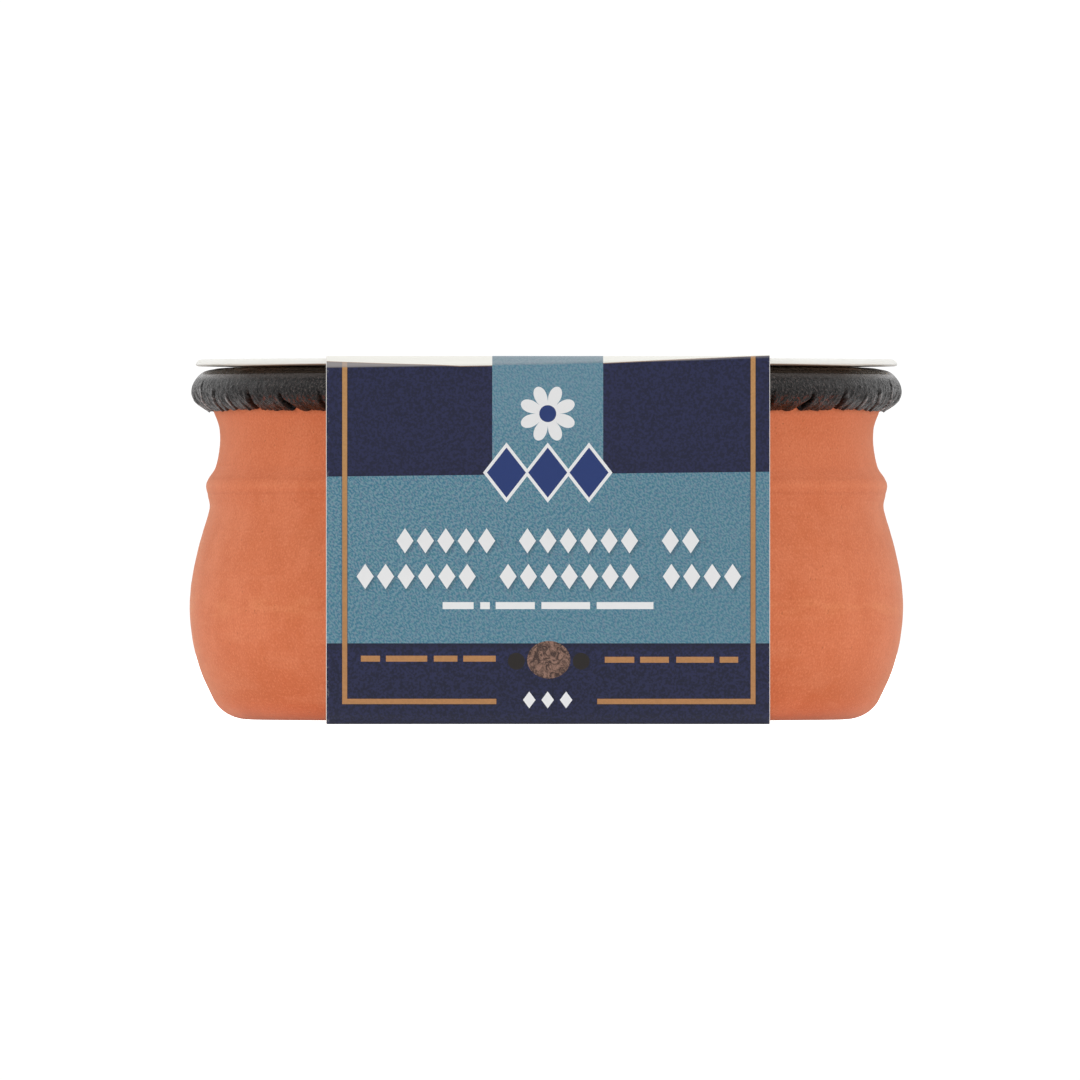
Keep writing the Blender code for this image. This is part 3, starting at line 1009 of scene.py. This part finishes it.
# Painted glare on the top fold
FOLD_GLARE = (0.33, 0.30, 0.285)
# Painted shadow line at the cream's lower edge
CREAM_EDGE_SHADOW = (0.45, 0.30, 0.20)
CREAM = (0.84, 0.83, 0.77)
# Cream in painted shade on the top panel
CREAM_TOP_SHADE = (0.73, 0.71, 0.64)
WHITE = (0.86, 0.86, 0.86)
BLUE = (0.016, 0.040, 0.175)
MARK_SHADOW = (0.02, 0.05, 0.08)
STONE_DARK = (0.055, 0.030, 0.024)
STONE_LIGHT = (0.30, 0.170, 0.125)
PEBBLE = (0.016, 0.012, 0.010)
SCUFF = (0.45, 0.45, 0.46)

# Heights between which navy and gold grow from their colours in painted shade low down to their lit colours
PAINTED_SHADE_HEIGHTS = (6.0, 38.0)

# Teal band with a slightly tilted upper edge, and the teal column that runs on over the top
TEAL_BASE = 11.03
BAND_TOP = 33.98
BAND_TILT = 0.011
COLUMN_MIDDLE = -0.143
COLUMN_HALF = 7.525

# The teal's fine screen, by its lines per mm along the two diagonals, and the height where the navy
# below it starts to darken
SCREEN = (3.1, 1.9)
SHADE_START = 9.6

# Gold frame: two uprights from its foot to past the top, and a bar between them with an opening
FRAME_FOOT = 2.80
FRAME_TOP = 90.0
FRAME_LEFT = (-28.03, -27.36)
FRAME_RIGHT = (27.40, 28.05)
FRAME_OPENING = (-7.12, 6.58)
FRAME_RIM = 0.12

# Bars in a row: the row's middle, the bars' height and where each one starts and ends
Bars = namedtuple("Bars", "middle tall spans")
FRAME_BAR = Bars(3.14, 0.72, ((FRAME_LEFT[0], FRAME_OPENING[0]), (FRAME_OPENING[1], FRAME_RIGHT[1])))
WHITE_BARS = Bars(16.15, 0.95, ((-14.4, -10.2), (-9.3, -8.0), (-7.2, -1.9), (-1.0, 5.6), (6.5, 14.2)))
GOLD_BARS = (Bars(8.95, 0.80, ((-25.5, -22.9), (-22.1, -16.5), (-15.6, -12.4), (-11.6, -7.2))),
             Bars(8.80, 0.80, ((7.6, 11.6), (12.4, 16.3), (17.3, 22.4), (23.2, 25.7))))

# Lozenges in a row: the row's middle, half a lozenge's height and width, the pitch of the row's cells,
# where the first cell starts, and groups of cells that are filled (first, count)
Lozenges = namedtuple("Lozenges", "middle half_tall half_wide pitch left groups")
LARGE_LOZENGES = (Lozenges(24.95, 1.72, 1.16, 2.77, -20.9, ((0, 5), (6, 6), (13, 2))),
                  Lozenges(20.10, 1.72, 1.16, 2.77, -26.3, ((0, 6), (7, 7), (15, 4))))
SMALL_LOZENGES = Lozenges(3.35, 1.15, 0.85, 2.5, -3.9, ((0, 3),))
ROW_SLOPE = 0.7
ROW_REACH = 9.0
SHADOW_RIGHT = 0.22
SHADOW_DOWN = 0.24

# Rosette with a blue heart, and below it three blue lozenges with white borders
ROSETTE_X = -0.14
ROSETTE_HEIGHT = 42.2
ROSETTE_RADIUS = 3.9
ROSETTE_CORE = 0.38
PETALS = 8.0
PETAL_ROUNDNESS = 0.55
HEART_RADIUS = 1.15
BLUE_HEIGHT = 34.2
BLUE_PITCH = 5.6
BLUE_HALVES = (2.65, 3.4)
BLUE_SLOPE = 0.79
BLUE_BORDER = 0.42

# Marbled disc between two dark pebbles
STONE_HEIGHT = 8.8
STONE_RADIUS = 2.55
STONE_WIDENING = 1.15
PEBBLE_X = 4.4
PEBBLE_HEIGHT = 8.6
PEBBLE_RADIUS = 1.15

# Blocks of broken bars on the back: left, right, low and high, the bars' pitch, their share of it,
# and how the noise that breaks them runs along a bar, how far it moves on from bar to bar, and its limit
BACK_BLOCKS = ((-25.0, -2.0, 14.0, 31.5), (3.0, 25.0, 14.0, 24.5))
BACK_PITCH = 1.75
BACK_BAR = 0.42
BREAK_PACE = 0.42
BREAK_STEP = 7.3
BREAK_LIMIT = 0.56

# The print turns cream this far past the top fold, and later beyond these places, at these rates
CREAM_START = 0.1
CREAM_LEFT = (-12.0, 0.07)
CREAM_RIGHT = (7.0, 0.022)

# Scuffs keep to this strip along the cut edges
SCUFFED = 0.35


class Print(Nodes):
    """Flat shapes printed on the sleeve.

    A place is x and a height along the strip, in mm. A shape is the distance to its outline, in mm,
    and below zero inside it.
    """

    def __init__(self, tree):
        super().__init__(tree)
        half_run = middle_run(sleeve_box()[1])
        run = self.attribute("strip")
        self.place = self.place_mm()
        self.x = self.minus(self.axes(self.place)["X"], PRINT_SHIFT / MM)
        self.height = self.total(self.smallest(run, self.minus(2.0 * half_run, run)), PRINT_LIFT)
        self.here = (self.x, self.height)
        self.is_front = self.math("LESS_THAN", run, half_run)
        self.grain = self.noise(self.place, 3.5, 1.0)
        self.column = self.largest(self.minus(self.gap(self.x, COLUMN_MIDDLE), COLUMN_HALF),
                                   self.minus(TEAL_BASE, self.height))

    def inside(self, shape):
        return self.math("LESS_THAN", shape, 0.0)

    def on_front(self, shape):
        return self.product(self.inside(shape), self.is_front)

    def rectangle(self, where, left, right, low, high):
        across = self.minus(self.gap(where[0], 0.5 * (left + right)), 0.5 * (right - left))
        up = self.minus(self.gap(where[1], 0.5 * (low + high)), 0.5 * (high - low))
        return self.largest(across, up)

    def bars(self, row):
        low = row.middle - 0.5 * row.tall
        high = row.middle + 0.5 * row.tall
        return self.smallest(*(self.rectangle(self.here, left, right, low, high)
                               for left, right in row.spans))

    def lozenge(self, across, up, half_wide, half_tall, slope):
        """Lozenge by the distances from its middle. The slope turns shares of its half width into mm."""
        share = self.total(self.math("DIVIDE", across, half_wide), self.math("DIVIDE", up, half_tall))
        return self.product(self.minus(share, 1.0), slope * half_wide)

    def lozenges(self, where, row):
        cell = self.math("DIVIDE", self.minus(where[0], row.left), row.pitch)
        across = self.product(self.gap(self.math("FRACT", cell), 0.5), row.pitch)
        up = self.gap(where[1], row.middle)
        shape = self.lozenge(across, up, row.half_wide, row.half_tall, ROW_SLOPE)
        filled = self.smallest(*(self.rectangle((cell, where[1]), first, first + count,
                                                row.middle - ROW_REACH, row.middle + ROW_REACH)
                                 for first, count in row.groups))
        return self.largest(shape, filled)

    def disc(self, middle_x, middle, radius, widening=1.0):
        across = self.math("DIVIDE", self.minus(self.x, middle_x), widening)
        up = self.minus(self.height, middle)
        square = self.total(self.product(across, across), self.product(up, up))
        return self.minus(self.math("SQRT", square), radius)

    def rosette(self, middle_x, middle, radius):
        turn = self.math("ARCTAN2", self.minus(self.height, middle), self.minus(self.x, middle_x))
        wave = self.math("ABSOLUTE", self.math("SINE", self.product(turn, 0.5 * PETALS)))
        petal = self.product(self.math("POWER", wave, PETAL_ROUNDNESS), (1.0 - ROSETTE_CORE) * radius)
        reach = self.total(petal, ROSETTE_CORE * radius)
        return self.minus(self.disc(middle_x, middle, 0.0), reach)


def teal_print(n):
    """Teal with a fine screen, a little violet and green, and slow changes across and up."""
    screen = n.vector(n.product(n.total(n.x, n.height), SCREEN[0]),
                      n.product(n.minus(n.x, n.height), SCREEN[1]))
    tint = n.noise(n.place, 2.4, 1.0)
    return n.layers(
        TEAL,
        (n.ramp(n.noise(screen, 1.0, 1.0), 0.38, 0.62), TEAL_LIGHT),
        (n.ramp(tint, 0.52, 0.64, 0.0, 0.35), TEAL_VIOLET),
        (n.ramp(tint, 0.36, 0.46, 0.30, 0.0), TEAL_GREEN),
        (n.ramp(n.x, -20.0, 32.0, 0.0, 0.20), TEAL_RIGHT),
        (n.ramp(n.height, 32.0, 48.0, 0.0, 0.30), TEAL_TOP),
        (n.ramp(n.height, 12.0, 27.0, 0.14, 0.0), TEAL_FOOT))


def print_ground(n, navy, gold):
    """Navy with the teal band and column, and the gold frame."""
    band_top = n.total(n.product(n.x, BAND_TILT), BAND_TOP)
    band = n.largest(n.minus(TEAL_BASE, n.height), n.minus(n.height, band_top))
    uprights = [n.rectangle(n.here, left, right, FRAME_FOOT, FRAME_TOP)
                for left, right in (FRAME_LEFT, FRAME_RIGHT)]
    frame_lines = n.smallest(*uprights, n.bars(FRAME_BAR))
    return n.layers(
        navy,
        (n.product(n.ramp(n.height, SHADE_START, TEAL_BASE), 0.55), NAVY_SHADE),
        (n.inside(n.smallest(band, n.column)), teal_print(n)),
        (n.product(n.inside(n.minus(frame_lines, FRAME_RIM)), 0.45), GOLD_RIM),
        (n.inside(frame_lines), gold))


def front_marks(n, colour, gold):
    """Rows of lozenges and bars, the rosette, the blue lozenges, the marbled disc and its pebbles."""
    shadow_place = (n.minus(n.x, SHADOW_RIGHT), n.total(n.height, SHADOW_DOWN))
    shadow = n.smallest(*(n.lozenges(shadow_place, row) for row in LARGE_LOZENGES))
    white_marks = n.smallest(*(n.lozenges(n.here, row) for row in (*LARGE_LOZENGES, SMALL_LOZENGES)),
                             n.bars(WHITE_BARS), n.rosette(ROSETTE_X, ROSETTE_HEIGHT, ROSETTE_RADIUS))
    blue_up = n.gap(n.height, BLUE_HEIGHT)
    blue_marks = n.smallest(*(n.lozenge(n.gap(n.x, x), blue_up, *BLUE_HALVES, BLUE_SLOPE)
                              for x in (ROSETTE_X - BLUE_PITCH, ROSETTE_X, ROSETTE_X + BLUE_PITCH)))
    heart = n.disc(ROSETTE_X, ROSETTE_HEIGHT, HEART_RADIUS)
    stone = n.blend(n.ramp(n.noise(n.place, 0.9, 5.0, 0.7, 2.2), 0.42, 0.62), STONE_DARK, STONE_LIGHT)
    pebbles = n.smallest(*(n.disc(x, PEBBLE_HEIGHT, PEBBLE_RADIUS) for x in (-PEBBLE_X, PEBBLE_X)))
    return n.layers(
        colour,
        (n.product(n.ramp(shadow, 0.35, -0.25), n.is_front, 0.45), MARK_SHADOW),
        (n.on_front(white_marks), WHITE),
        (n.on_front(n.minus(blue_marks, BLUE_BORDER)), WHITE),
        (n.on_front(n.smallest(blue_marks, heart)), BLUE),
        (n.on_front(n.smallest(*(n.bars(row) for row in GOLD_BARS))), gold),
        (n.on_front(n.disc(0.0, STONE_HEIGHT, STONE_RADIUS, STONE_WIDENING)), stone),
        (n.on_front(pebbles), PEBBLE))


def back_marks(n, colour):
    """Blocks of thin broken bars on the back."""
    line = n.math("DIVIDE", n.height, BACK_PITCH)
    bar = n.math("LESS_THAN", n.math("FRACT", line), BACK_BAR)
    spot = n.vector(n.product(n.x, BREAK_PACE), n.product(n.math("FLOOR", line), BREAK_STEP))
    unbroken = n.math("LESS_THAN", n.noise(spot, 1.0, 1.0), BREAK_LIMIT)
    blocks = n.inside(n.smallest(*(n.rectangle(n.here, *block) for block in BACK_BLOCKS)))
    return n.blend(n.product(blocks, bar, unbroken, n.minus(1.0, n.is_front)), colour, WHITE)


def top_print(n, colour, high):
    """Painted glare on the top fold, and cream past it on both sides of the column, with a painted shadow
    line at its edge and painted shade on the top panel.
    """
    fold_run = (high.z - TOP_FOLD_DROP) / MM + CREAM_START + PRINT_LIFT
    past_fold = n.minus(n.height, fold_run)
    later_left = n.product(n.largest(n.minus(CREAM_LEFT[0], n.x), 0.0), CREAM_LEFT[1])
    later_right = n.product(n.largest(n.minus(n.x, CREAM_RIGHT[0]), 0.0), CREAM_RIGHT[1])
    past_cream = n.minus(past_fold, n.total(later_left, later_right))
    beside_column = n.minus(1.0, n.inside(n.column))
    # Painted glare on the top fold
    fold_glare = n.product(n.ramp(past_fold, -0.08, 0.15), n.ramp(n.x, 18.0, 26.0, 1.0, 0.3),
                     n.total(n.product(beside_column, 0.35), 0.35))
    # Cream lighter near the fold and in painted shade on the top panel
    cream = n.blend(n.ramp(past_fold, 2.0, 9.0), CREAM, CREAM_TOP_SHADE)
    return n.layers(
        colour,
        (fold_glare, FOLD_GLARE),
        # Painted shadow line at the cream's lower edge
        (n.product(n.ramp(past_cream, -0.16, -0.04), beside_column, 0.7), CREAM_EDGE_SHADOW),
        (n.product(n.math("GREATER_THAN", past_cream, 0.0), beside_column), cream))


def print_material():
    material, n = new_material("printed_board", Print)
    low, high = sleeve_box()
    # Navy and gold go from painted shade low down to their lit colours higher up
    heights = {"Value": n.height, "From Min": PAINTED_SHADE_HEIGHTS[0], "From Max": PAINTED_SHADE_HEIGHTS[1]}
    tone = n.add("ShaderNodeMapRange", heights).outputs[0]
    navy = n.shaded(n.blend(tone, NAVY_SHADED_LOW, NAVY_LIT_HIGH), n.ramp(n.grain, 0.38, 0.62, 0.64, 1.36))
    gold = n.shaded(n.blend(tone, GOLD_SHADED_LOW, GOLD_LIT_HIGH), n.ramp(n.grain, 0.3, 0.7, 0.95, 1.06))
    colour = front_marks(n, print_ground(n, navy, gold), gold)
    colour = top_print(n, back_marks(n, colour), high)
    underside = n.math("LESS_THAN", n.height, -0.25 * math.pi * LOW_FOLD / MM)
    edge = n.minus(n.math("ABSOLUTE", n.x), 0.5 * (high.x - low.x) / MM - SCUFFED)
    scuffs = n.product(n.ramp(edge, -0.1, 0.2), n.ramp(n.noise(n.place, 1.4, 4.0, 0.7), 0.56, 0.66), 0.22)
    fibres = n.noise(n.stretched(n.place, (1.0, 0.5, 0.5)), 1.8, 4.0, 0.6)
    n.finish({"Base Color": n.layers(colour, (underside, navy), (scuffs, SCUFF)),
              "Roughness": n.ramp(n.grain, 0.2, 0.8, *PRINT_ROUGHNESS),
              "Normal": n.bump(fibres, 0.010 * MM),
              "Specular IOR Level": 0.42})
    return material


# Studio

WHITE_LIGHT = (1.0, 1.0, 1.0, 1.0)
FLOOR_RADIUS = 3.0
FLOOR_POINTS = 128
FLOOR_SEEN = (0.96, 0.96, 0.96)
FLOOR_NEAR = (0.92, 0.92, 0.92)
FLOOR_FAR = (0.72, 0.72, 0.72)

# The floor glows a little up to these distances from the middle, in mm
NEAR_FLOOR = (70.0, 90.0)
NEAR_GLOW = 0.24

# The world's dimmer part on the camera's side, by a direction's depth, and its strength when seen
WORLD_FRONT = (-0.93, -0.45)
WORLD_FRONT_LIGHT = 0.35
WORLD_SEEN = 1.05


def add_light(name, place, aim, size, watts):
    data = bpy.data.lights.new(name, "AREA")
    data.shape = "RECTANGLE"
    data.size, data.size_y = size
    data.energy = watts
    light = bpy.data.objects.new(name, data)
    bpy.context.scene.collection.objects.link(light)
    light.location = place
    light.rotation_euler = (Vector(aim) - Vector(place)).to_track_quat("-Z", "Y").to_euler()


def make_lights():
    for side in (-1.0, 1.0):
        add_light("side_box", place=(side * 0.75, -0.62, 0.30), aim=(0.0, 0.0, 0.02), size=(0.5, 0.7),
                  watts=1.2)
    add_light("top_box", place=(0.0, -0.15, 0.9), aim=(0.0, 0.0, 0.0), size=(0.8, 0.8), watts=0.8)


def make_world():
    """White studio, dimmer on the camera's side, and plain white behind everything."""
    world = bpy.data.worlds.new("studio")
    world.use_nodes = True
    bpy.context.scene.world = world
    n = Nodes(world.node_tree)
    direction = n.add("ShaderNodeTexCoord").outputs["Generated"]
    light = n.ramp(n.axes(direction)["Y"], *WORLD_FRONT, WORLD_FRONT_LIGHT, 1.0)
    strength = n.largest(light, n.product(n.seen_directly(), WORLD_SEEN))
    n.finish({"Color": WHITE_LIGHT, "Strength": strength}, "Background")


def make_floor():
    bpy.ops.mesh.primitive_circle_add(vertices=FLOOR_POINTS, radius=FLOOR_RADIUS, fill_type="NGON",
                                      location=(0.0, 0.0, 0.0))
    floor = bpy.context.object
    floor.name = "floor"
    material, n = new_material("white_floor")
    seen = n.seen_directly()
    near = n.ramp(n.length(n.place_mm()), *NEAR_FLOOR, 1.0, 0.0)
    n.finish({"Base Color": n.blend(seen, n.blend(near, FLOOR_FAR, FLOOR_NEAR), FLOOR_SEEN),
              "Roughness": 0.9,
              "Specular IOR Level": 0.0,
              "Emission Color": WHITE_LIGHT,
              "Emission Strength": n.largest(seen, n.product(near, NEAR_GLOW))})
    floor.data.materials.append(material)


def make_camera():
    data = bpy.data.cameras.new("camera")
    data.sensor_width = SENSOR
    seen_width = PHOTO_WIDTH / PIXELS_PER_MM * MM
    data.lens = SENSOR * CAMERA_DISTANCE / seen_width
    data.clip_start = 0.05
    data.clip_end = 30.0
    camera = bpy.data.objects.new("camera", data)
    bpy.context.scene.collection.objects.link(camera)
    middle = 0.5 * PHOTO_WIDTH
    side = (middle - AXIS_PIXEL) / PIXELS_PER_MM * MM
    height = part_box("pot")[0].z + (POT_BASE_PIXEL - middle) / PIXELS_PER_MM * MM
    camera.location = (side, -CAMERA_DISTANCE, height)
    camera.rotation_euler = (math.radians(90.0), 0.0, 0.0)
    bpy.context.scene.camera = camera


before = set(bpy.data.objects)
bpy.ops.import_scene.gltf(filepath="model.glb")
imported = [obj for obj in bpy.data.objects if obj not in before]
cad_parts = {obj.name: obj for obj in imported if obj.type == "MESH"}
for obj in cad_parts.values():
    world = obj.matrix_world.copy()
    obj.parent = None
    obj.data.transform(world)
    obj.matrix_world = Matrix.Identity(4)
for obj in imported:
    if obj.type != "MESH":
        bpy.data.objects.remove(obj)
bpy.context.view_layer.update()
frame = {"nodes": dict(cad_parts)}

make_camera()
make_pot(frame)
make_film()
make_lid()
make_sleeve()
make_floor()
make_world()
make_lights()
bpy.context.scene.view_settings.view_transform = "Standard"
